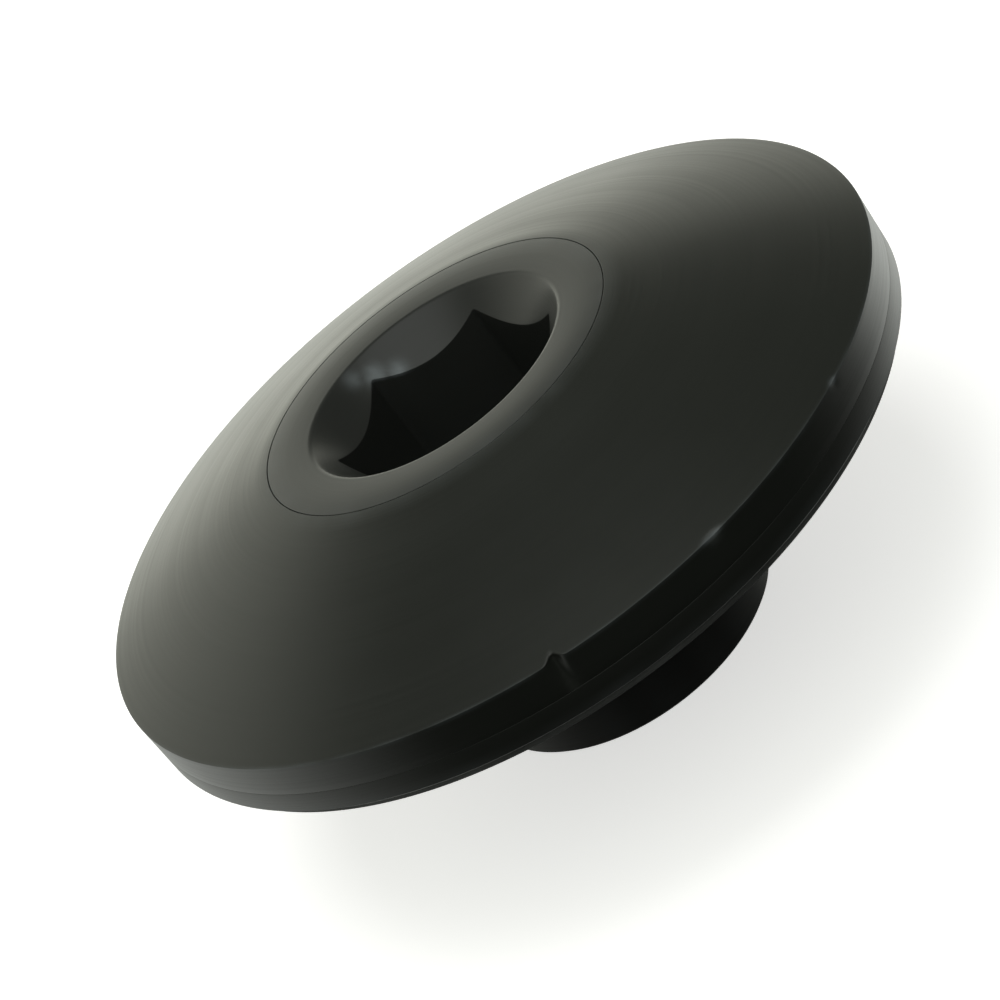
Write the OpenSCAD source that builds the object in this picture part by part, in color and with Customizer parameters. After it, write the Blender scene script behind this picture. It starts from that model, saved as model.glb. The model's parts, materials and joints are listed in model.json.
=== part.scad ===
// Domed plug for a desk's cable hole, with a captive hexagon-socket barrel nut.
// The cap stays still while a hexagon key turns the nut that runs through it, and a bolt
// from below is drawn up into the nut's tapped hole.
// The origin is on the barrel's axis, in the plane of the rim seal's lower face, which
// seats on the surface round the hole. +Z points out of the dome.

/* [Cap] */
// Diameter of the cap and base plate over the rim
cap_d = 32; // [28:0.5:38]
// Height of the flat land in the middle above the rim's top edge
dome_rise = 2.9; // [2.8:0.1:4]
// How far the dome bows out from a straight cone
dome_bow = 0.2; // [0.05:0.05:0.5]
// Height of the cap's own band of the rim wall
cap_band = 1.3; // [1.1:0.05:1.6]
// Thickness of the cap's web, which the nut's head pulls down on
web_t = 0.9; // [0.7:0.05:1]
// Radius of the pocket under the web, which holds the base plate's spigot
pocket_r = 10; // [9.2:0.1:12]

/* [Base plate] */
// Thickness of the plate, which is the lower band of the rim wall
plate_t = 0.95; // [0.8:0.05:1.4]
// Height of the spigot that presses into the cap's pocket
spigot_h = 0.25; // [0.1:0.05:0.4]
// Chamfer on the plate's lower outer edge
plate_chamfer = 0.1; // [0.05:0.05:0.3]

/* [Barrel nut] */
// Outside diameter of the barrel, and of the journal that turns in the cap
barrel_d = 12.5; // [12:0.1:12.6]
// Length of the barrel below the seal's lower face
barrel_l = 8; // [6:0.5:16]
// Diameter of the flush head, which is the flat land seen from above
head_d = 14.2; // [14.2:0.1:15]
// Thickness of the head's flange
head_t = 1.25; // [1.1:0.05:1.4]
// Width across the flats of the hexagon socket
key_af = 8; // [6:0.5:8]
// Depth of the socket's flats below the land
socket_depth = 5.1; // [4.6:0.1:5.2]
// Diameter of the conical mouth where it meets the land
mouth_d = 10.5; // [10:0.1:11]
// Fall of the mouth's cone for each millimetre of radius
mouth_slope = 1.15; // [0.9:0.05:1.3]
// Diameter of the tapped hole's wall, for an M8 thread
tap_d = 6.8; // [5:0.1:6.8]
// Diameter of the countersink at the tapped hole's lower end
tap_mouth_d = 8.4; // [7.5:0.1:9]
// Chamfer on the barrel's lower edge
tip_chamfer = 0.15; // [0.1:0.05:0.5]
// Depth of the relief groove between the journal and the barrel's free end
relief_depth = 0.3; // [0.1:0.05:0.4]

/* [Seal and washer] */
// How far the rim seal's edge sits inside the rim
seal_inset = 0.3; // [0.1:0.05:0.5]
// Thickness of the rim seal
seal_t = 0.4; // [0.3:0.1:1]
// Diameter of the rim seal's hole
seal_bore_d = 19; // [14:0.5:24]
// Thickness of the thrust washer under the nut's head
thrust_t = 0.4; // [0.3:0.05:0.5]

/* [Retaining ring] */
// Thickness of the spring ring that holds the nut in the cap
ring_t = 1; // [0.8:0.1:1]
// Depth of the ring's groove in the journal
groove_depth = 0.5; // [0.4:0.05:0.5]
// Radial width of the ring halfway between its thin and thick sides
ring_w = 1.9; // [1.7:0.1:2]
// Width of the gap between the ring's two lugs
ring_gap = 2.6; // [2:0.1:3]

/* [Fits] */
// Radial clearance of the journal in the cap and plate
journal_gap = 0.08; // [0.05:0.01:0.1]
// Radial clearance between the nut's head and its counterbore
head_gap = 0.03; // [0.02:0.01:0.2]
// End float of the nut, shared between its head and the retaining ring
end_float = 0.05; // [0.02:0.01:0.1]

/* [Hidden] */
$fn = 96;
eps = 0.5;                              // overshoot of a cutting shape

cap_r = cap_d / 2;
barrel_r = barrel_d / 2;
head_r = head_d / 2;
mouth_r = mouth_d / 2;
tap_r = tap_d / 2;
tap_mouth_r = tap_mouth_d / 2;
relief_r = barrel_r - relief_depth;
bore_r = barrel_r + journal_gap;        // hole through the cap's web and the plate
counterbore_r = head_r + head_gap;
hex_corner_r = key_af / sqrt(3);

z_plate = seal_t;                       // plate's lower face, on the seal
z_split = z_plate + plate_t;            // seam between the plate and the cap
z_edge = z_split + cap_band;            // rim's top edge, where the dome starts
z_land = z_edge + dome_rise;            // flat top of the nut's head
z_head = z_land - head_t;               // head's lower face
z_shoulder = z_head - end_float - thrust_t;
z_web = z_shoulder - web_t;             // web's lower face, roof of the pocket
z_ring = z_web - end_float - ring_t;    // ring's lower face
z_socket = z_land - socket_depth;
z_tip = -barrel_l;
z_relief_top = z_plate + 0.1;           // the relief reaches just into the plate
z_relief_low = -0.6;                    // and ends just below the seal
groove_r = barrel_r - groove_depth;
groove_float = 0.05;                    // ring's side clearance in its groove

// The dome's arc passes through the counterbore's top edge and the rim's top edge.
dome_run = cap_r - counterbore_r;
dome_chord = norm([dome_run, dome_rise]);
dome_arc_r = dome_chord * dome_chord / (8 * dome_bow) + dome_bow / 2;
dome_normal = [dome_rise, dome_run] / dome_chord;
dome_middle = [(cap_r + counterbore_r) / 2, (z_edge + z_land) / 2];
dome_centre = dome_middle - dome_normal * (dome_arc_r - dome_bow);

// A ring or disc about the Z axis, from radius r1 to r2 and height z1 to z2.
module band(r1, r2, z1, z2) {
    translate([r1, z1]) square([r2 - r1, z2 - z1]);
}

// Domed cap: the crowned skirt, the web the nut pulls on and the upper rim band.
module dome_cap() {
    color([0.16, 0.17, 0.16])
    rotate_extrude($fn = 180) difference() {
        intersection() {
            band(0, cap_r, z_split, z_land);
            translate(dome_centre) circle(r = dome_arc_r, $fn = 360);
        }
        band(0, bore_r, z_split - eps, z_land + eps);
        band(0, counterbore_r, z_shoulder, z_land + eps);
        band(0, pocket_r, z_split - eps, z_web);
    }
}

// Base plate: the lower rim band, with a low spigot pressed into the cap's pocket.
module base_plate() {
    color([0.13, 0.14, 0.14])
    rotate_extrude($fn = 180) difference() {
        union() {
            band(bore_r, cap_r, z_plate, z_split);
            band(bore_r, pocket_r, z_split, z_split + spigot_h);
        }
        polygon([
            [cap_r - plate_chamfer, z_plate],
            [cap_r, z_plate + plate_chamfer],
            [cap_r + eps, z_plate],
            [cap_r, z_plate - eps],
        ]);
    }
}

// Barrel nut: flush head with a key socket, grooved journal, relief and smooth barrel.
module barrel_nut() {
    color([0.19, 0.20, 0.20])
    difference() {
        rotate_extrude($fn = 180) difference() {
            union() {
                band(0, head_r, z_head, z_land);
                band(0, barrel_r, z_tip, z_land);
            }
            band(groove_r, head_r, z_ring - groove_float, z_web);
            band(relief_r, head_r, z_relief_low, z_relief_top);
            polygon([
                [barrel_r - tip_chamfer, z_tip],
                [barrel_r, z_tip + tip_chamfer],
                [barrel_r + eps, z_tip],
                [barrel_r, z_tip - eps],
            ]);
        }
        key_socket();
        tapped_hole();
    }
}

// Space of the hexagon socket: six flats and a conical mouth.
module key_socket() {
    cone_h = mouth_r * mouth_slope;
    translate([0, 0, z_socket]) cylinder(r = hex_corner_r, h = socket_depth + eps, $fn = 6);
    translate([0, 0, z_land - cone_h]) cylinder(r1 = 0, r2 = mouth_r, h = cone_h);
    translate([0, 0, z_land]) cylinder(r = mouth_r, h = eps);
}

// Space of the tapped hole, from the countersunk lower end up to the socket's floor.
// The thread is a plain wall of its tapping diameter.
module tapped_hole() {
    sink_h = tap_mouth_r - tap_r;
    translate([0, 0, z_tip - eps]) cylinder(r = tap_r, h = z_socket - z_tip + 2 * eps);
    translate([0, 0, z_tip]) cylinder(r1 = tap_mouth_r, r2 = tap_r, h = sink_h);
    translate([0, 0, z_tip - eps]) cylinder(r = tap_mouth_r, h = eps);
}

// Thrust washer: lets the head turn on the cap without marking it.
module thrust_washer() {
    color([0.82, 0.80, 0.74])
    rotate_extrude($fn = 120) band(bore_r, head_r, z_shoulder, z_shoulder + thrust_t);
}

// Retaining ring: an open spring ring, wider opposite its gap, with two eyed lugs.
module retaining_ring() {
    lug_angle = 22;
    lug_r = 1.25;
    lug_reach = groove_r + ring_w;
    eye_r = 0.6;
    ring_offset = 0.35;
    color([0.30, 0.31, 0.33])
    translate([0, 0, z_ring]) linear_extrude(height = ring_t) difference() {
        union() {
            translate([-ring_offset, 0]) circle(r = groove_r + ring_w);
            for (side = [-1, 1])
                rotate(side * lug_angle) translate([lug_reach, 0]) circle(r = lug_r);
        }
        circle(r = groove_r);
        translate([0, -ring_gap / 2]) square([pocket_r, ring_gap]);
        for (side = [-1, 1])
            rotate(side * lug_angle) translate([lug_reach, 0]) circle(r = eye_r);
    }
}

// Rim seal: flat soft ring between the plate and the surface it covers.
module rim_seal() {
    color([0.28, 0.29, 0.28])
    rotate_extrude($fn = 180) band(seal_bore_d / 2, cap_r - seal_inset, 0, seal_t);
}

dome_cap();
base_plate();
barrel_nut();
thrust_washer();
retaining_ring();
rim_seal();
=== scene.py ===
import json
import math

import bmesh
import bpy
from mathutils import Matrix, Vector, noise


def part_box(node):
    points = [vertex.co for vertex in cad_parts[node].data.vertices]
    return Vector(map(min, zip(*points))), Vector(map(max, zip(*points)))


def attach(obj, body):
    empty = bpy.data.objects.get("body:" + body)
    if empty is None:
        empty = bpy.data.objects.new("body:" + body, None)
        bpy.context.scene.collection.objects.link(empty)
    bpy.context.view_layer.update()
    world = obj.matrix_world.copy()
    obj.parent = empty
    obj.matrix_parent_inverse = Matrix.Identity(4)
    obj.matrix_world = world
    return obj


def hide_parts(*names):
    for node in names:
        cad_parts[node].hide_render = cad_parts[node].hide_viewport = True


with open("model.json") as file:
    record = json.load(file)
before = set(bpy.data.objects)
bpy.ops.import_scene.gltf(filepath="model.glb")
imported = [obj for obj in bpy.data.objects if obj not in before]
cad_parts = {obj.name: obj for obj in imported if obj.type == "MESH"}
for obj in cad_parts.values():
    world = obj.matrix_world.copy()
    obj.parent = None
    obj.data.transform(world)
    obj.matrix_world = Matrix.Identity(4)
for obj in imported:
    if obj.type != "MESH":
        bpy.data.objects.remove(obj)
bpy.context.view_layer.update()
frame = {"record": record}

MM = 0.001
TAU = 2 * math.pi
UP = Vector((0, 0, 1))

# ---------------------------------------------------------------- sizes, in millimetres
# Places come from the frame; the rest are the object's own dimensions.


def span(node):
    """Lowest height, highest height and outer radius of a CAD node, in millimetres."""
    low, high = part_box(node)
    return low.z / MM, high.z / MM, high.x / MM


def mount_radius(name):
    """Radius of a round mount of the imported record, in millimetres."""
    mounts = {m["name"]: m for m in frame["record"]["mounts"]}
    return mounts[name]["dims"]["r_mm"]


END_FLOAT = 0.05                      # play under the nut's head and over its ring
Z_SPLIT, Z_LAND, CAP_R = span("dome_cap")
Z_PLATE, Z_SPIGOT, _ = span("base_plate")
Z_TIP, _, HEAD_R = span("barrel_nut")
Z_SEAL, Z_SEAL_TOP, SEAL_R = span("rim_seal")
Z_SHOULDER, Z_WASHER_TOP, _ = span("thrust_washer")
Z_RING, Z_RING_TOP, _ = span("retaining_ring")
Z_HEAD = Z_WASHER_TOP + END_FLOAT
Z_WEB = Z_RING_TOP + END_FLOAT
BARREL_R = mount_radius("barrel")
TAP_R = mount_radius("tapped_hole")

DOME_RISE = 2.9                       # land above the rim's top edge
DOME_BOW = 0.2                        # how far the dome bows out from a cone
Z_EDGE = Z_LAND - DOME_RISE
HEAD_GAP = 0.03                       # radial clearance round the nut's head
JOURNAL_GAP = 0.08                    # radial clearance round its journal
COUNTERBORE_R = HEAD_R + HEAD_GAP
BORE_R = BARREL_R + JOURNAL_GAP
POCKET_R = 10.0
PLATE_CHAMFER = 0.1
SEAL_BORE_R = 9.5

KEY_AF = 8.0                          # hexagon socket across flats
KEY_DEPTH = 5.1
KEY_CORNER = 0.16                     # radius in the hexagon's corners
MOUTH_R = 5.25
MOUTH_SLOPE = 1.15                    # fall of the mouth's cone per millimetre
MOUTH_ROUND = 0.25                    # radius of the edge between the mouth and the land
GROOVE_DEPTH = 0.5
GROOVE_R = BARREL_R - GROOVE_DEPTH
RELIEF_DEPTH = 0.3
RELIEF_R = BARREL_R - RELIEF_DEPTH
Z_RELIEF_TOP = Z_PLATE + 0.1          # just inside the plate
Z_RELIEF_LOW = -0.6                   # just below the seal
TIP_CHAMFER = 0.15
PITCH = 1.25                          # of the M8 thread in the tapped hole
THREAD_DEPTH = 0.6
FLANK_ANGLE = math.radians(30)
TAP_MOUTH_R = 4.2

RING_THICKNESS = Z_RING_TOP - Z_RING
RING_OUTER_R = 7.4
RING_OFFSET = 0.35                    # of its outer circle, away from the gap
RING_WIDTH = 1.9                      # halfway between its thin and thick sides
RING_GAP = 2.6
RING_EDGE = 0.05                      # radius of its edges
LUG_REACH = GROOVE_R + RING_WIDTH     # of the lugs' centres from the axis
LUG_ANGLE = math.radians(22)
LUG_SPREAD = 0.21                     # radians from a lug's centre to the ring's outer circle
LUG_END = math.radians(118)           # where a lug's arc meets that circle
LUG_NOSE = 0.75                       # where the gap's sides cut the lugs, past their centres
LUG_R = 1.25
EYE_R = 0.6

COLUMNS = 720                         # facets round the cap, the plate and the seal
WASHER_COLUMNS = 240
NUT_COLUMNS = 360                     # a multiple of 6, so that the corners have columns


# ---------------------------------------------------------------- profiles
NEARLY_STRAIGHT = 0.02                # radians of turn at a corner that stays as it is
MOST_OF_SIDE = 0.45                   # the most of each side that a corner's arc takes
FILLET_STEPS = 4
FINE_FILLET_STEPS = 5


def fillet(before, corner, after, radius, steps):
    """Points of an arc that rounds one corner of an outline."""
    a = (before - corner).normalized()
    b = (after - corner).normalized()
    angle = a.angle(b)
    if radius <= 0 or angle > math.pi - NEARLY_STRAIGHT:
        return [corner] * (steps + 1)
    shorter_side = min((before - corner).length, (after - corner).length)
    reach = min(radius / math.tan(angle / 2), MOST_OF_SIDE * shorter_side)
    radius = reach * math.tan(angle / 2)
    centre = corner + (a + b).normalized() * radius / math.sin(angle / 2)
    start = corner + a * reach - centre
    end = corner + b * reach - centre
    turn = math.pi - angle
    points = []
    for i in range(steps + 1):
        t = i / steps
        blend = start * math.sin((1 - t) * turn) + end * math.sin(t * turn)
        points.append(centre + blend / math.sin(turn))
    return points


def rounded(corners, closed, steps=FILLET_STEPS):
    """An outline of (radius, height) points, from corners given as (r, z, fillet)."""
    places = [Vector((r, z)) for r, z, _ in corners]
    outline = []
    for i, (_, _, radius) in enumerate(corners):
        inside = closed or 0 < i < len(corners) - 1
        if inside and radius > 0:
            before, after = places[i - 1], places[(i + 1) % len(places)]
            outline += fillet(before, places[i], after, radius, steps)
        else:
            outline.append(places[i])
    return outline


def dome_arc(steps):
    """Points of the dome's arc from the land to the rim, closer together near the rim."""
    top = Vector((COUNTERBORE_R, Z_LAND))
    rim = Vector((CAP_R, Z_EDGE))
    chord = rim - top
    radius = chord.length_squared / (8 * DOME_BOW) + DOME_BOW / 2
    outward = Vector((-chord.y, chord.x)).normalized()
    centre = (top + rim) / 2 - outward * (radius - DOME_BOW)
    half = math.asin(chord.length / 2 / radius)
    middle = math.atan2(outward.x, outward.y)
    points = []
    for i in range(1, steps):
        share = 1 - (1 - i / steps) ** 2
        angle = middle - half + 2 * half * share
        place = centre + radius * Vector((math.sin(angle), math.cos(angle)))
        points.append((place.x, place.y, 0))
    return points


# ---------------------------------------------------------------- meshes
SAME_PLACE = 1e-9                     # metres between points that are joined into one


def add_object(name, bm, body, node):
    """Makes a smooth-shaded piece that stands for a CAD node and rides on its body."""
    bmesh.ops.remove_doubles(bm, verts=bm.verts, dist=SAME_PLACE)
    bmesh.ops.dissolve_degenerate(bm, edges=bm.edges, dist=SAME_PLACE)
    bmesh.ops.recalc_face_normals(bm, faces=bm.faces)
    mesh = bpy.data.meshes.new(name)
    bm.to_mesh(mesh)
    bm.free()
    mesh.shade_smooth()
    piece = bpy.data.objects.new(name, mesh)
    bpy.context.scene.collection.objects.link(piece)
    even = piece.modifiers.new("even_normals", "WEIGHTED_NORMAL")
    even.weight = 100
    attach(piece, body)
    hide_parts(node)
    return piece


def skin(bm, rows, closed=False, climb=0):
    """Faces over a grid of points: each row goes once round the axis, in millimetres.

    A helical grid climbs so many rows in one turn, so its last column meets a higher row.
    """
    grid = [[bm.verts.new(point * MM) for point in row] for row in rows]
    last = len(rows) - 1

    def met(k):
        """The first point of the row that row k meets after one turn."""
        return grid[k % len(rows) if closed else min(k + climb, last)][0]

    for k in range(len(rows) if closed else last):
        upper, lower = grid[k], grid[(k + 1) % len(rows)]
        for i in range(len(upper) - 1):
            bm.faces.new((upper[i], upper[i + 1], lower[i + 1], lower[i]))
        first_upper, first_lower = met(k), met(k + 1)
        if first_upper is not first_lower:
            bm.faces.new((upper[-1], first_upper, first_lower, lower[-1]))
        else:
            bm.faces.new((upper[-1], first_upper, lower[-1]))


def around(radius, height, angle):
    return Vector((radius * math.cos(angle), radius * math.sin(angle), height))


def even_angles(count):
    return [TAU * i / count for i in range(count)]


def lathe(outline, angles):
    """A closed outline turned about the Z axis."""
    bm = bmesh.new()
    skin(bm, [[around(r, z, a) for a in angles] for r, z in outline], closed=True)
    return bm


# ---------------------------------------------------------------- wear
# How worn each edge is at most, from 0 to 1.
RIM_WEAR = 0.12
LAND_WEAR = 0.08
PLATE_WEAR = 0.25
TIP_WEAR = 0.15


def set_wear(piece, share):
    """Stores how worn each point is, from 0 to 1, for the material to read."""
    layer = piece.data.attributes.new("wear", "FLOAT", "POINT")
    for i, vertex in enumerate(piece.data.vertices):
        layer.data[i].value = max(0.0, min(1.0, share(vertex.co / MM)))


def patchy(place, size, seed):
    """Smooth noise from 0 to 1 with patches of about this size, in millimetres."""
    return 0.5 + 0.5 * noise.noise(place / size + Vector((seed, seed, seed)))


def near_line(place, radius, height, width):
    """From 1 on a circle about the axis to 0 away from it."""
    away = math.hypot(math.hypot(place.x, place.y) - radius, place.z - height)
    return math.exp(-((away / width) ** 2))


# ---------------------------------------------------------------- the cap
# A notch in the rim's top edge, which fades out down to the seam.
NOTCH_ANGLE = math.radians(-93.5)
NOTCH_HALF_WIDTH = 0.25
NOTCH_DEPTH = 0.28

# Shallow nicks on the same edge, with the angle in degrees and how bare the metal is.
NICKS = (
    {"angle": -71.0, "half_length": 0.32, "depth": 0.06, "bare": 0.55},
    {"angle": -46.0, "half_length": 0.2, "depth": 0.03, "bare": 0.4},
)
NICK_HALF_WIDTH = 0.09
NICK_DROP = 0.8                       # how far a nick goes down per millimetre inward

FINER = 5                             # times closer columns at the notch and the nicks
FINER_REACH = 0.8                     # of those columns to each side
WALL_ROWS = (0.15, 0.45, 0.9)         # depths of the rows that shape the notch's fade
DOME_STEPS = 26


def arc_away(place, angle):
    """Distance round the rim from an angle, in millimetres."""
    turn = math.atan2(place.y, place.x) - angle
    return CAP_R * ((turn + math.pi) % TAU - math.pi)


def cap_angles():
    """Angles round the cap, closer together at the notch and the nicks."""
    flaws = [NOTCH_ANGLE] + [math.radians(nick["angle"]) for nick in NICKS]
    angles = []
    for i, angle in enumerate(even_angles(COLUMNS * FINER)):
        place = around(1, 0, angle)
        close = any(abs(arc_away(place, flaw)) < FINER_REACH for flaw in flaws)
        if close or i % FINER == 0:
            angles.append(angle)
    return angles


def cut_notch(place):
    """Moves a point of the cap inward, where the notch is."""
    depth = NOTCH_DEPTH * math.exp(-((arc_away(place, NOTCH_ANGLE) / NOTCH_HALF_WIDTH) ** 2))
    share = (place.z - Z_SPLIT) / (Z_EDGE - Z_SPLIT)
    limit = CAP_R - depth * max(0.0, min(1.0, share))
    radius = math.hypot(place.x, place.y)
    if radius > limit:
        place.x *= limit / radius
        place.y *= limit / radius


def nick_share(place, nick):
    """From 1 in the middle of a nick to 0 away from it."""
    along = arc_away(place, math.radians(nick["angle"])) / nick["half_length"]
    off_edge = math.hypot(math.hypot(place.x, place.y) - CAP_R, place.z - Z_EDGE)
    across = off_edge / NICK_HALF_WIDTH
    return math.exp(-(along**2) - across**2)


def dented(place):
    """Where a point of the cap goes, with the notch and the nicks."""
    cut_notch(place)
    inward = -Vector((place.x, place.y, 0)).normalized()
    for nick in NICKS:
        place += (inward - UP * NICK_DROP) * nick["depth"] * nick_share(place, nick)
    return place


def cap_wear(place):
    """How worn the cap's finish is at a point, from 0 to 1."""
    edge = near_line(place, CAP_R, Z_EDGE, width=0.06) * patchy(place, size=1.1, seed=3.7)
    land = near_line(place, COUNTERBORE_R, Z_LAND, width=0.04) * patchy(place, size=0.8, seed=9.1)
    nicks = max(nick_share(place, nick) * nick["bare"] for nick in NICKS)
    return RIM_WEAR * edge + LAND_WEAR * land + nicks


def make_cap():
    corners = [
        (COUNTERBORE_R, Z_LAND, 0.02),
        *dome_arc(DOME_STEPS),
        (CAP_R, Z_EDGE, 0.04),
        *((CAP_R, Z_EDGE - depth, 0) for depth in WALL_ROWS),
        (CAP_R, Z_SPLIT, 0.012),
        (POCKET_R, Z_SPLIT, 0.05),
        (POCKET_R, Z_WEB, 0.15),
        (BORE_R, Z_WEB, 0.05),
        (BORE_R, Z_SHOULDER, 0.05),
        (COUNTERBORE_R, Z_SHOULDER, 0.08),
    ]
    bm = lathe(rounded(corners, closed=True), cap_angles())
    for vertex in bm.verts:
        vertex.co = dented(vertex.co / MM) * MM
    piece = add_object("cap_shell", bm, "cap", "dome_cap")
    set_wear(piece, cap_wear)
    return piece


def plate_wear(place):
    """How worn the base plate's finish is at a point, from 0 to 1."""
    edge = near_line(place, CAP_R, Z_PLATE, width=0.1) * patchy(place, size=1.3, seed=5.2)
    return PLATE_WEAR * edge


def make_plate():
    corners = [
        (BORE_R, Z_PLATE, 0.06),
        ((BORE_R + CAP_R) / 2, Z_PLATE, 0),
        (CAP_R - PLATE_CHAMFER, Z_PLATE, 0.02),
        (CAP_R, Z_PLATE + PLATE_CHAMFER, 0.02),
        (CAP_R, (Z_PLATE + Z_SPLIT) / 2, 0),
        (CAP_R, Z_SPLIT, 0.012),
        (POCKET_R, Z_SPLIT, 0.04),
        (POCKET_R, Z_SPIGOT, 0.06),
        (BORE_R, Z_SPIGOT, 0.06),
    ]
    bm = lathe(rounded(corners, closed=True, steps=FINE_FILLET_STEPS), even_angles(COLUMNS))
    piece = add_object("bottom_plate", bm, "cap", "base_plate")
    set_wear(piece, plate_wear)
    return piece


def make_seal():
    corners = [
        (SEAL_BORE_R, Z_SEAL, 0.1),
        ((SEAL_BORE_R + SEAL_R) / 2, Z_SEAL, 0),
        (SEAL_R, Z_SEAL, 0.14),
        (SEAL_R, Z_SEAL_TOP, 0.1),
        (SEAL_BORE_R, Z_SEAL_TOP, 0.08),
    ]
    bm = lathe(rounded(corners, closed=True, steps=FINE_FILLET_STEPS), even_angles(COLUMNS))
    return add_object("seal_ring", bm, "cap", "rim_seal")


def make_washer():
    corners = [
        (BORE_R, Z_SHOULDER, 0.06),
        (HEAD_R, Z_SHOULDER, 0.06),
        (HEAD_R, Z_WASHER_TOP, 0.06),
        (BORE_R, Z_WASHER_TOP, 0.06),
    ]
    bm = lathe(rounded(corners, closed=True), even_angles(WASHER_COLUMNS))
    return add_object("slip_washer", bm, "cap", "thrust_washer")


# ---------------------------------------------------------------- the barrel nut
Z_KEY = Z_LAND - KEY_DEPTH            # floor of the hexagon socket
HALF_SIDE = math.radians(30)          # half the angle that one of its flats takes up
CONE_STEPS = 8                        # rows across the mouth's cone
UNDER_CONE = 0.15                     # depth of the row that keeps wear off the flats
THREAD_ROUND = 0.06                   # radius of the thread's edges
THREAD_START = Z_TIP - PITCH          # one turn early, so that the helix is whole at the tip


def key_radius(angle):
    """Distance from the axis to the hexagon's wall, with small radii in its corners."""
    half = KEY_AF / 2
    off_corner = (angle + HALF_SIDE) % (2 * HALF_SIDE) - HALF_SIDE
    off_flat = HALF_SIDE - abs(off_corner)
    flat_run = (half - KEY_CORNER) * math.tan(HALF_SIDE)
    if off_flat <= math.atan2(flat_run, half):
        return half / math.cos(off_flat)
    arc_centre = (half - KEY_CORNER) / math.cos(HALF_SIDE)
    across = arc_centre * math.sin(off_corner)
    return arc_centre * math.cos(off_corner) + math.sqrt(KEY_CORNER**2 - across**2)


def cone_height(radius):
    """Height of the mouth's cone at a distance from the axis."""
    return Z_LAND - (MOUTH_R - radius) * MOUTH_SLOPE


def nut_section(angle):
    """Outline of the nut at one angle, from the socket's floor round to the lower end."""
    key = key_radius(angle)
    z_scallop = cone_height(key)
    cone = [key + (MOUTH_R - key) * i / CONE_STEPS for i in range(1, CONE_STEPS - 1)]
    corners = [
        (TAP_R, Z_KEY, 0),
        (key, Z_KEY, 0.1),
        (key, (Z_KEY + z_scallop) / 2, 0),
        (key, z_scallop - UNDER_CONE, 0),
        (key, z_scallop, 0.05),
        *((radius, cone_height(radius), 0) for radius in cone),
        (MOUTH_R, Z_LAND, MOUTH_ROUND),
        ((MOUTH_R + HEAD_R) / 2, Z_LAND, 0),
        (HEAD_R, Z_LAND, 0.02),
        (HEAD_R, Z_HEAD, 0.06),
        (BARREL_R, Z_HEAD, 0.1),
        (BARREL_R, Z_WEB, 0.04),
        (GROOVE_R, Z_WEB, 0.05),
        (GROOVE_R, Z_RING - END_FLOAT, 0.05),
        (BARREL_R, Z_RING - END_FLOAT, 0.04),
        (BARREL_R, Z_RELIEF_TOP, 0.05),
        (RELIEF_R, Z_RELIEF_TOP, 0.15),
        (RELIEF_R, Z_RELIEF_LOW, 0.15),
        (BARREL_R, Z_RELIEF_LOW, 0.05),
        (BARREL_R, Z_TIP + TIP_CHAMFER, 0.05),
        (BARREL_R - TIP_CHAMFER, Z_TIP, 0.05),
        (TAP_MOUTH_R, Z_TIP, 0),
    ]
    return rounded(corners, closed=False)


def thread_tooth():
    """One pitch of the tapped thread as (rise along the axis, depth) pairs."""
    root = PITCH / 8
    flank = THREAD_DEPTH * math.tan(FLANK_ANGLE)
    corners = [
        (0, THREAD_DEPTH, 0),
        (root / 2, THREAD_DEPTH, THREAD_ROUND),
        (root / 2 + flank, 0, THREAD_ROUND),
        (PITCH - root / 2 - flank, 0, THREAD_ROUND),
        (PITCH - root / 2, THREAD_DEPTH, THREAD_ROUND),
        (PITCH, THREAD_DEPTH, 0),
    ]
    return rounded(corners, closed=False, steps=2)[:-1]


def thread_point(angle, turn, rise, depth):
    """A point of the tapped hole's wall, kept between its lower end and the socket."""
    z = THREAD_START + PITCH * (turn + angle / TAU) + rise
    z = max(Z_TIP, min(Z_KEY, z))
    run_out = max(0.0, Z_KEY - THREAD_DEPTH - z)
    countersink = TAP_MOUTH_R - (z - Z_TIP)
    return around(max(TAP_R + min(depth, run_out), countersink), z, angle)


def thread_rows(angles):
    """Rows along the thread's helix, and how many of them make one turn of it."""
    tooth = thread_tooth()
    turns = math.ceil((Z_KEY - THREAD_START) / PITCH) + 1
    rows = [
        [thread_point(angle, turn, rise, depth) for angle in angles]
        for turn in range(turns)
        for rise, depth in tooth
    ]
    return rows, len(tooth)


# Places that a key has rubbed on the mouth's cone, with the angle in degrees, the distance
# from the axis, and how bare the metal is.
KEY_MARKS = (
    {"angle": 125.0, "radius": 4.95, "size": 0.34, "bare": 0.35},
    {"angle": 117.0, "radius": 4.62, "size": 0.4, "bare": 0.6},
    {"angle": 108.0, "radius": 4.3, "size": 0.36, "bare": 0.55},
)
KEY_MARK_SKIN = 0.08                  # how far off the cone a rubbed place can reach


def key_mark(place, mark):
    """From 0 to how bare the metal is in the middle of a rubbed place."""
    radius = mark["radius"]
    middle = around(radius, cone_height(radius), math.radians(mark["angle"]))
    away = (place - middle).length / mark["size"]
    off_cone = (place.z - cone_height(math.hypot(place.x, place.y))) / KEY_MARK_SKIN
    streaks = 0.5 + 0.5 * patchy(place, size=0.25, seed=1.9)
    return mark["bare"] * streaks * math.exp(-(away**2) - off_cone**2)


def nut_wear(place):
    """How worn the nut's finish is at a point, from 0 to 1."""
    head = near_line(place, HEAD_R, Z_LAND, width=0.04) * patchy(place, size=0.9, seed=2.3)
    key_marks = max(key_mark(place, mark) for mark in KEY_MARKS)
    tip = near_line(place, BARREL_R, Z_TIP, width=0.15) * patchy(place, size=1.2, seed=8.8)
    return LAND_WEAR * head + key_marks + TIP_WEAR * tip


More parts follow.
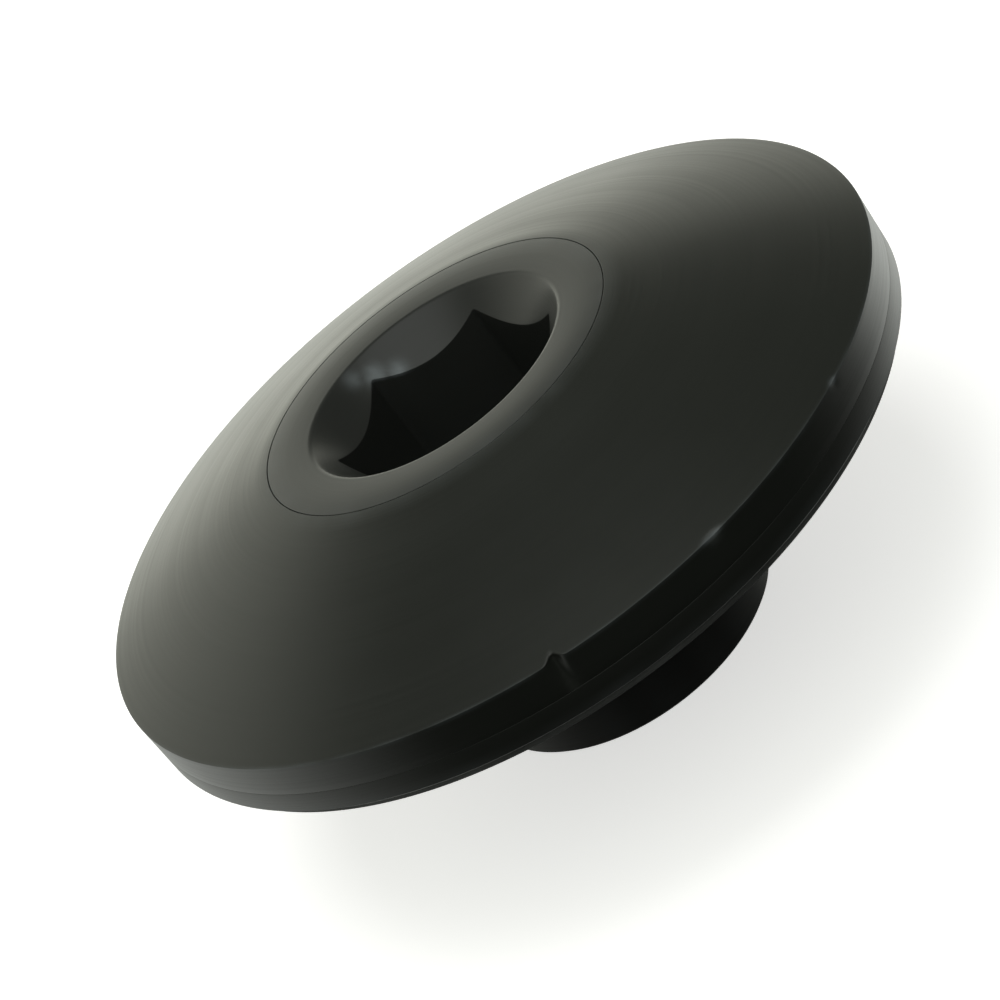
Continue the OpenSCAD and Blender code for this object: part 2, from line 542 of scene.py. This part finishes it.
def make_nut():
    angles = even_angles(NUT_COLUMNS)
    sections = [nut_section(angle) for angle in angles]
    outside = [
        [around(*section[k], angle) for section, angle in zip(sections, angles)]
        for k in range(len(sections[0]))
    ]
    inside, climb = thread_rows(angles)
    bm = bmesh.new()
    skin(bm, outside)
    skin(bm, inside, climb=climb)
    piece = add_object("key_nut", bm, "nut", "barrel_nut")
    set_wear(piece, nut_wear)
    return piece


# ---------------------------------------------------------------- the retaining ring
RING_STEPS = 120                      # along each of its long arcs
LUG_STEPS = 24
EYE_STEPS = 32


def circle_points(centre, radius, start, end, steps):
    """Points along an arc, from one angle to the other."""
    angles = [start + (end - start) * i / steps for i in range(steps + 1)]
    x, y = centre
    return [(x + radius * math.cos(a), y + radius * math.sin(a)) for a in angles]


def lug_centre(side):
    return LUG_REACH * math.cos(LUG_ANGLE), side * LUG_REACH * math.sin(LUG_ANGLE)


def add_spline(curve, points):
    spline = curve.splines.new("POLY")
    spline.points.add(len(points) - 1)
    for target, (x, y) in zip(spline.points, points):
        target.co = (x * MM, y * MM, 0, 1)
    spline.use_cyclic_u = True


def lug_arc(side):
    """Outline of one lug, from the gap's side to the ring's outer circle."""
    centre_x, centre_y = lug_centre(side)
    first = math.atan2(RING_GAP / 2 - abs(centre_y), LUG_REACH + LUG_NOSE - centre_x)
    arc = circle_points((0, 0), LUG_R, first, LUG_END, LUG_STEPS)
    return [(centre_x + x, centre_y + side * y) for x, y in arc]


def ring_outline():
    """Outline of the open ring, from one lug round the back to the other."""
    gap_angle = math.asin(RING_GAP / 2 / GROOVE_R)
    back_start = LUG_ANGLE + LUG_SPREAD
    back_end = TAU - back_start
    outline = circle_points((0, 0), GROOVE_R, TAU - gap_angle, gap_angle, RING_STEPS)
    outline += lug_arc(1)
    outline += circle_points((-RING_OFFSET, 0), RING_OUTER_R, back_start, back_end, RING_STEPS)
    outline += lug_arc(-1)[::-1]
    return outline


def ring_curve():
    """The ring as a filled flat curve with rounded edges and two eyes."""
    curve = bpy.data.curves.new("ring_outline", "CURVE")
    curve.dimensions = "2D"
    curve.fill_mode = "BOTH"
    curve.extrude = (RING_THICKNESS / 2 - RING_EDGE) * MM
    curve.bevel_depth = RING_EDGE * MM
    curve.bevel_resolution = 2
    curve.offset = -RING_EDGE * MM
    add_spline(curve, ring_outline())
    last_angle = TAU * (EYE_STEPS - 1) / EYE_STEPS
    for side in (1, -1):
        add_spline(curve, circle_points(lug_centre(side), EYE_R, 0, last_angle, EYE_STEPS - 1))
    return curve


def make_ring():
    source = bpy.data.objects.new("ring_source", ring_curve())
    bpy.context.scene.collection.objects.link(source)
    source.location.z = (Z_RING + Z_RING_TOP) / 2 * MM
    bpy.context.view_layer.update()
    solid = source.evaluated_get(bpy.context.evaluated_depsgraph_get())
    bm = bmesh.new()
    bm.from_mesh(solid.to_mesh())
    bm.transform(source.matrix_world)
    bpy.data.objects.remove(source)
    return add_object("spring_ring", bm, "nut", "retaining_ring")


# ---------------------------------------------------------------- node trees
MIX_SOCKETS = {"FLOAT": (2, 0), "RGBA": (6, 2)}   # a Mix node's first input and its output


class Graph:
    """Short names for building one node tree, of a material or of the world."""

    def __init__(self, tree, coordinates):
        self.tree = tree
        self.place = self.new("TexCoord").outputs[coordinates]

    def new(self, kind, **settings):
        """A shader node of a kind, with its settings."""
        node = self.tree.nodes.new("ShaderNode" + kind)
        for name, value in settings.items():
            setattr(node, name, value)
        return node

    def put(self, value, socket):
        """Links an output to a socket, or sets the socket to a plain number or colour."""
        if isinstance(value, bpy.types.NodeSocket):
            self.tree.links.new(value, socket)
        elif socket.type == "RGBA":
            socket.default_value = (*value, 1)
        else:
            socket.default_value = value

    def combine(self, operation, first, second):
        """The result of a Math node."""
        node = self.new("Math", operation=operation)
        self.put(first, node.inputs[0])
        self.put(second, node.inputs[1])
        return node.outputs["Value"]

    def add(self, first, second):
        return self.combine("ADD", first, second)

    def times(self, first, second):
        return self.combine("MULTIPLY", first, second)

    def spread(self, source, low, high, start=0.0, end=1.0, curve="LINEAR"):
        """A number moved from the range start to end, to the range low to high."""
        node = self.new("MapRange", interpolation_type=curve)
        names = ("From Min", "From Max", "To Min", "To Max")
        for name, value in zip(names, (start, end, low, high)):
            node.inputs[name].default_value = value
        self.put(source, node.inputs["Value"])
        return node.outputs["Result"]

    def blend(self, share, first, second, kind="RGBA"):
        """A colour or, as a FLOAT, a number between two others."""
        node = self.new("Mix", data_type=kind)
        first_input, output = MIX_SOCKETS[kind]
        self.put(share, node.inputs[0])
        self.put(first, node.inputs[first_input])
        self.put(second, node.inputs[first_input + 1])
        return node.outputs[output]


class Finish(Graph):
    """The node tree of one material."""

    def __init__(self, name):
        self.material = bpy.data.materials.new(name)
        self.material.use_nodes = True
        super().__init__(self.material.node_tree, "Object")
        self.shader = self.tree.nodes["Principled BSDF"]

    def shade(self, socket, value):
        """Gives one of the shader's sockets an output or a plain value."""
        self.put(value, self.shader.inputs[socket])

    def radius(self):
        """Distance from the nut's axis, in metres."""
        flat = self.new("VectorMath", operation="MULTIPLY")
        flat.inputs[1].default_value = (1, 1, 0)
        length = self.new("VectorMath", operation="LENGTH")
        self.put(self.place, flat.inputs[0])
        self.put(flat.outputs["Vector"], length.inputs[0])
        return length.outputs["Value"]

    def height(self):
        """Height above the seat, in metres."""
        node = self.new("SeparateXYZ")
        self.put(self.place, node.inputs["Vector"])
        return node.outputs["Z"]

    def attribute(self, name):
        return self.new("Attribute", attribute_name=name).outputs["Fac"]

    def noise(self, per_mm, detail):
        """Noise in all directions, with so many cycles to a millimetre."""
        texture = self.new("TexNoise")
        texture.inputs["Scale"].default_value = per_mm / MM
        texture.inputs["Detail"].default_value = detail
        self.put(self.place, texture.inputs["Vector"])
        return texture.outputs["Fac"]

    def rings(self, source, per_mm, detail=4.0):
        """Noise that changes only along a distance, for the marks of a turning tool."""
        texture = self.new("TexNoise", noise_dimensions="1D")
        texture.inputs["Scale"].default_value = per_mm / MM
        texture.inputs["Detail"].default_value = detail
        self.put(source, texture.inputs["W"])
        return texture.outputs["Fac"]

    def bump(self, height, depth_mm, before=None):
        """A bump of so many millimetres, on top of an earlier one."""
        node = self.new("Bump")
        node.inputs["Distance"].default_value = depth_mm * MM
        self.put(height, node.inputs["Height"])
        if before is not None:
            self.put(before, node.inputs["Normal"])
        return node.outputs["Normal"]

    def radial_tangent(self):
        return self.new("Tangent", direction_type="RADIAL", axis="Z").outputs["Tangent"]


# ---------------------------------------------------------------- materials
CAP_COLOUR = (0.0125, 0.0142, 0.0120)
PLATE_COLOUR = (0.0125, 0.0140, 0.0120)
NUT_COLOUR = (0.0185, 0.0200, 0.0183)
BARE_COLOUR = (0.32, 0.36, 0.38)
SEAL_DARK = (0.065, 0.069, 0.067)
SEAL_LIGHT = (0.105, 0.110, 0.107)
NYLON_DARK = (0.62, 0.58, 0.48)
NYLON_LIGHT = (0.78, 0.75, 0.66)
STEEL_DARK = (0.035, 0.036, 0.04)
STEEL_LIGHT = (0.10, 0.10, 0.105)
BARREL_DULL_AND_SHADED_BELOW = -0.3              # height where the barrel's duller finish and its painted shade start
DULL_AND_SHADE_FADE = 0.2                       # of that change, to each side of its edge
PAINTED_SHADE_TINT = 0.1                       # share of the colour that is left there: painted shade under the cap
DULL_ROUGHNESS = 0.42                 # added to the rest


def tinted(colour, factor):
    return tuple(factor * c for c in colour)


def dark_metal(name, colour, roughness, tool_mm, grain_mm, anisotropy, dull_and_shaded_below=None):
    """Satin black finish over turned metal: tool rings, grain, patches and worn edges.

    Below a height, in millimetres, the finish is duller, and its colour is darkened as painted
    shade under the cap.
    """
    n = Finish(name)
    height = n.height()
    along = n.add(n.radius(), height)
    rings = n.rings(along, per_mm=9.0)
    broad = n.rings(along, per_mm=1.1, detail=2.0)
    grain = n.noise(per_mm=34.0, detail=2.0)
    patches = n.noise(per_mm=0.16, detail=3.0)
    wear = n.attribute("wear")

    lighter = tinted(colour, 1.28)
    shade = n.blend(patches, tinted(colour, 0.78), lighter)
    shade = n.blend(n.spread(rings, 0, 0.35), shade, lighter)
    rough = n.spread(patches, roughness - 0.04, roughness + 0.04)
    rough = n.add(n.spread(rings, -0.05, 0.05), rough)
    rough = n.add(rough, n.spread(broad, -0.03, 0.03))
    rough = n.add(rough, n.times(wear, 0.12))
    if dull_and_shaded_below is not None:
        start = (dull_and_shaded_below - DULL_AND_SHADE_FADE) * MM
        end = (dull_and_shaded_below + DULL_AND_SHADE_FADE) * MM
        # Below that height the roughness rises for a duller finish. The colour also drops to a
        # small share, as painted shade under the cap.
        dull_and_shade = n.spread(height, 1, 0, start, end)
        shade = n.blend(dull_and_shade, shade, tinted(colour, PAINTED_SHADE_TINT))
        rough = n.add(rough, n.times(dull_and_shade, DULL_ROUGHNESS))
    rubbed = n.times(wear, n.spread(grain, 0.7, 1.25))
    n.shade("Base Color", n.blend(rubbed, shade, BARE_COLOUR))
    n.shade("Metallic", rubbed)
    n.shade("Roughness", rough)
    n.shade("Normal", n.bump(grain, grain_mm, n.bump(rings, tool_mm)))
    n.shade("Tangent", n.radial_tangent())
    n.shade("Anisotropic", anisotropy)
    n.shade("Anisotropic Rotation", 0.25)
    return n.material


def rubber(name):
    """Moulded rubber: fine grain, faint flow marks round the ring and dusty patches."""
    n = Finish(name)
    grain = n.noise(per_mm=22.0, detail=5.0)
    dust = n.noise(per_mm=0.5, detail=4.0)
    flow = n.rings(n.radius(), per_mm=2.5)
    n.shade("Base Color", n.blend(n.spread(dust, 0.0, 1.0, 0.3, 0.7), SEAL_DARK, SEAL_LIGHT))
    n.shade("Roughness", n.spread(grain, 0.62, 0.82))
    n.shade("Normal", n.bump(grain, 0.012, n.bump(flow, 0.01)))
    return n.material


def nylon(name):
    """Natural nylon with a fine moulded grain and a faint darker bloom."""
    n = Finish(name)
    grain = n.noise(per_mm=16.0, detail=4.0)
    bloom = n.noise(per_mm=0.7, detail=3.0)
    n.shade("Base Color", n.blend(bloom, NYLON_DARK, NYLON_LIGHT))
    n.shade("Roughness", n.spread(grain, 0.38, 0.56))
    n.shade("Normal", n.bump(grain, 0.006))
    n.shade("Subsurface Weight", 0.15)
    n.shade("Subsurface Scale", 0.4 * MM)
    return n.material


def spring_steel(name):
    """Phosphated spring steel: crystalline grey grain in lighter and darker patches."""
    n = Finish(name)
    crystals = n.noise(per_mm=20.0, detail=6.0)
    patches = n.noise(per_mm=0.8, detail=3.0)
    n.shade("Base Color", n.blend(patches, STEEL_DARK, STEEL_LIGHT))
    n.shade("Roughness", n.spread(crystals, 0.34, 0.6))
    n.shade("Normal", n.bump(crystals, 0.008))
    n.shade("Metallic", 0.8)
    return n.material


# ---------------------------------------------------------------- camera
VIEW_AZIMUTH = math.radians(5.5)
VIEW_ELEVATION = math.radians(28.4)
VIEW_ROLL = math.radians(-37.3)
VIEW_DISTANCE = 6.0                   # in cap radii, from the middle of the rim's edge
AIM_RIGHT = 0.0555                    # where the view is centred beside that point
AIM_UP = -0.1575
LENS = 95.7                           # in millimetres, as is the sensor
SENSOR_WIDTH = 36
CLIP_NEAR = 0.005                     # in metres
CLIP_FAR = 20

RIGHT = Vector((math.cos(VIEW_AZIMUTH), math.sin(VIEW_AZIMUTH), 0))
AWAY = Vector((-math.sin(VIEW_AZIMUTH), math.cos(VIEW_AZIMUTH), 0))


def make_camera():
    """A long lens that looks down on the dome, rolled so that the plug lies aslant."""
    back = UP * math.sin(VIEW_ELEVATION) - AWAY * math.cos(VIEW_ELEVATION)
    level_up = back.cross(RIGHT)
    right = RIGHT * math.cos(VIEW_ROLL) + level_up * math.sin(VIEW_ROLL)
    up = level_up * math.cos(VIEW_ROLL) - RIGHT * math.sin(VIEW_ROLL)
    aim = right * AIM_RIGHT + up * AIM_UP + back * VIEW_DISTANCE
    place = (Vector((0, 0, Z_EDGE)) + aim * CAP_R) * MM
    data = bpy.data.cameras.new("camera")
    data.lens = LENS
    data.sensor_width = SENSOR_WIDTH
    data.clip_start = CLIP_NEAR
    data.clip_end = CLIP_FAR
    camera = bpy.data.objects.new("camera", data)
    turn = Matrix((right, up, back)).transposed()
    camera.matrix_world = Matrix.Translation(place) @ turn.to_4x4()
    bpy.context.scene.collection.objects.link(camera)
    bpy.context.scene.camera = camera


# ---------------------------------------------------------------- floor
FLOOR_MIDDLE = 500                    # radius of the floor's inner disc
WALL_R = 900
WALL_ROUND = 300                      # radius of the sweep between the floor and the wall
WALL_HEIGHT = 900
FLOOR_COLUMNS = 96
FLOOR_COLOUR = (0.8, 0.8, 0.79)
FLOOR_GLOW = (1, 1, 0.99)
FLOOR_GLOW_STRENGTH = 0.62


def floor_mesh():
    """A floor that sweeps up into a wall all round, with its faces turned inward."""
    corners = [
        (0, Z_TIP, 0),
        (FLOOR_MIDDLE, Z_TIP, 0),
        (WALL_R, Z_TIP, WALL_ROUND),
        (WALL_R, Z_TIP + WALL_HEIGHT, 0),
    ]
    outline = rounded(corners, closed=False, steps=16)
    angles = even_angles(FLOOR_COLUMNS)
    bm = bmesh.new()
    skin(bm, [[around(r, z, a) for a in angles] for r, z in outline])
    bmesh.ops.remove_doubles(bm, verts=bm.verts, dist=SAME_PLACE)
    bmesh.ops.recalc_face_normals(bm, faces=bm.faces)
    bmesh.ops.reverse_faces(bm, faces=bm.faces)
    mesh = bpy.data.meshes.new("floor")
    bm.to_mesh(mesh)
    bm.free()
    mesh.shade_smooth()
    return mesh


def pale_matt(name):
    """A pale finish without gloss, which glows so that the floor stays nearly white."""
    n = Finish(name)
    n.shade("Base Color", FLOOR_COLOUR)
    n.shade("Roughness", 1.0)
    n.shade("Specular IOR Level", 0.0)
    n.shade("Emission Strength", FLOOR_GLOW_STRENGTH)
    n.shade("Emission Color", FLOOR_GLOW)
    return n.material


def make_floor():
    """The floor under the barrel. Only the camera sees it, so it lights nothing."""
    mesh = floor_mesh()
    mesh.materials.append(pale_matt("floor"))
    floor = bpy.data.objects.new("floor", mesh)
    bpy.context.scene.collection.objects.link(floor)
    floor.visible_diffuse = False
    floor.visible_glossy = False
    floor.visible_transmission = False
    floor.visible_shadow = False


# ---------------------------------------------------------------- light
# The light tent's radiances. The light changes along directions of the room, and an edge
# is the pair of dot products with such a direction between which it does.
BACK_LEVEL = 0.85                     # low down behind the object
FRONT_LEVEL = 0.02
DEPTH_EDGE = (-0.4, 0.62)
TOP_LEVEL = 0.12
BAND_TILT = math.radians(24.4)        # of the bright band's upper edge, which rises leftward
BAND_EDGE = (0.37, 0.56)
NADIR_EDGE = (-0.95, -0.6)
NADIR_SHARE = 0.1                     # of the light that is left straight below
KEY_LEVEL = 1.05                      # of the soft patch above the camera
KEY_ELEVATION = math.radians(54)
KEY_EDGE = (0.6, 0.98)
KEY_TINT = (0.97, 1.0, 0.95)
TINT_EDGE = (-0.45, 0.1)
LOW_TINT = (0.965, 1.0, 0.94)
HIGH_TINT = (0.985, 1.0, 0.87)

# Brighter patches low down: direction, edge, and the radiance that each adds.
PATCHES = (
    (AWAY * 0.97 - RIGHT * 0.03 - UP * 0.02, (0.9, 0.975), 0.95),    # straight behind
    (RIGHT * 0.6 + AWAY * 0.5 - UP * 0.3, (0.72, 0.84), 0.85),       # behind to the right
    (AWAY * 0.1 - RIGHT * 0.9 - UP * 0.3, (0.75, 0.95), 0.2),        # to the left
)


class Tent(Graph):
    """The node tree of the soft light that surrounds the object."""

    def __init__(self, name):
        world = bpy.data.worlds.new(name)
        bpy.context.scene.world = world
        world.use_nodes = True
        super().__init__(world.node_tree, "Generated")
        self.background = self.tree.nodes["Background"]

    def step(self, axis, edge, before=0.0, after=1.0):
        """A smooth change along a direction of the room."""
        dot = self.new("VectorMath", operation="DOT_PRODUCT")
        dot.inputs[1].default_value = axis
        self.put(self.place, dot.inputs[0])
        return self.spread(dot.outputs["Value"], before, after, *edge, curve="SMOOTHSTEP")


def low_light(tent):
    """The light below the bright band's upper edge."""
    light = tent.step(AWAY - RIGHT * 0.08, DEPTH_EDGE, FRONT_LEVEL, BACK_LEVEL)
    for direction, edge, level in PATCHES:
        light = tent.add(light, tent.step(direction, edge, 0, level))
    return tent.times(light, tent.step(UP, NADIR_EDGE, NADIR_SHARE, 1))


def make_world():
    """A light tent: bright low down behind the object, dim overhead and low in front."""
    tent = Tent("tent")
    band_up = UP * math.cos(BAND_TILT) + RIGHT * math.sin(BAND_TILT)
    key_way = UP * math.sin(KEY_ELEVATION) - AWAY * math.cos(KEY_ELEVATION)
    key_share = tent.step(key_way, KEY_EDGE)
    light = tent.blend(tent.step(band_up, BAND_EDGE), low_light(tent), TOP_LEVEL, "FLOAT")
    light = tent.blend(key_share, light, KEY_LEVEL, "FLOAT")
    tint = tent.blend(tent.step(UP, TINT_EDGE), LOW_TINT, HIGH_TINT)
    tint = tent.blend(key_share, tint, KEY_TINT)
    tent.put(light, tent.background.inputs["Strength"])
    tent.put(tint, tent.background.inputs["Color"])


def soft_box(name, direction, distance, size, power):
    """A square soft light that looks at the object, without a reflection in it."""
    data = bpy.data.lights.new(name, "AREA")
    data.size = size * MM
    data.energy = power
    light = bpy.data.objects.new(name, data)
    light.location = direction.normalized() * distance * MM
    light.rotation_euler = direction.to_track_quat("Z", "Y").to_euler()
    light.visible_glossy = False
    bpy.context.scene.collection.objects.link(light)


def light_studio():
    make_world()
    soft_box("top", UP + AWAY * 0.15, distance=420, size=330, power=0.8)
    bpy.context.scene.view_settings.view_transform = "Standard"


# ---------------------------------------------------------------- the build
def cap_black():
    return dark_metal(
        "cap_black", CAP_COLOUR, roughness=0.33, tool_mm=0.0022, grain_mm=0.0012, anisotropy=0.35
    )


def plate_black():
    return dark_metal(
        "plate_black", PLATE_COLOUR, roughness=0.36, tool_mm=0.0022, grain_mm=0.0014, anisotropy=0.3
    )


def nut_black():
    return dark_metal(
        "nut_black", NUT_COLOUR, roughness=0.32, tool_mm=0.0016, grain_mm=0.0010, anisotropy=0.25,
        dull_and_shaded_below=BARREL_DULL_AND_SHADED_BELOW,
    )


def finish_pieces():
    """Makes every piece and gives each its material."""
    finishes = (
        (make_cap(), cap_black()),
        (make_plate(), plate_black()),
        (make_nut(), nut_black()),
        (make_seal(), rubber("seal_grey")),
        (make_washer(), nylon("washer_nylon")),
        (make_ring(), spring_steel("ring_steel")),
    )
    for piece, material in finishes:
        piece.data.materials.clear()
        piece.data.materials.append(material)


finish_pieces()
make_floor()
light_studio()
make_camera()
